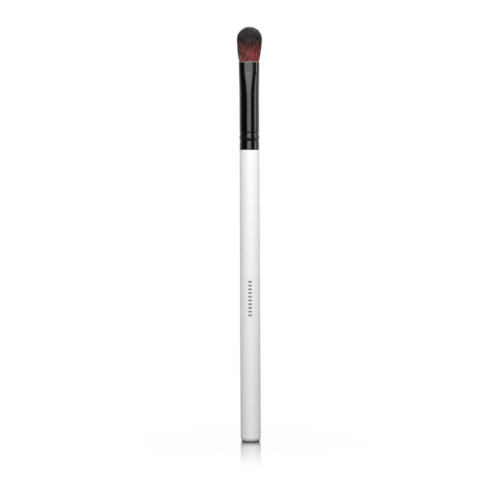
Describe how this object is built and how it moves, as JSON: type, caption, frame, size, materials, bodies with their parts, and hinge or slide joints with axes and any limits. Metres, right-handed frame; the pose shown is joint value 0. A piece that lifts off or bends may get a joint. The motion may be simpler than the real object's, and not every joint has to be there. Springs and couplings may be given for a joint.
{
  "type": "eyeshadow brush",
  "caption": "Slim cosmetic brush with a white lacquered handle, a black crimped ferrule flattened at its mouth, and a domed two-tone fibre tuft that flexes and springs back.",
  "frame": {"origin": "centre of the flat butt end of the handle, where the brush stands", "axes": "+Z along the handle towards the fibres, +X across the wide face of the tuft, +Y through the thickness of the tuft"},
  "size_m": [0.0104, 0.0082, 0.17],
  "materials": {
    "birch_wood": "matte",
    "white_lacquer": "satin",
    "black_ferrule": "gloss",
    "wood_glue": "satin",
    "amber_resin": "gloss",
    "thread": "matte",
    "dyed_fibre": "satin"
  },
  "bodies": {
    "handle": {"handle_core": "birch_wood", "handle_lacquer": "white_lacquer", "ferrule": "black_ferrule", "tenon_glue": "wood_glue", "knot_resin": "amber_resin", "binding_thread": "thread", "fibre_roots": "dyed_fibre"},
    "tuft": {"fibre_tuft": "dyed_fibre"}
  },
  "joints": [
    {"name": "tuft_flex", "type": "hinge", "parent": "handle", "child": "tuft", "pos_m": [0, 0, 0.15885], "axis": [1, 0, 0], "range_deg": [-35, 35], "stiffness_Nm_per_rad": 0.007}
  ]
}
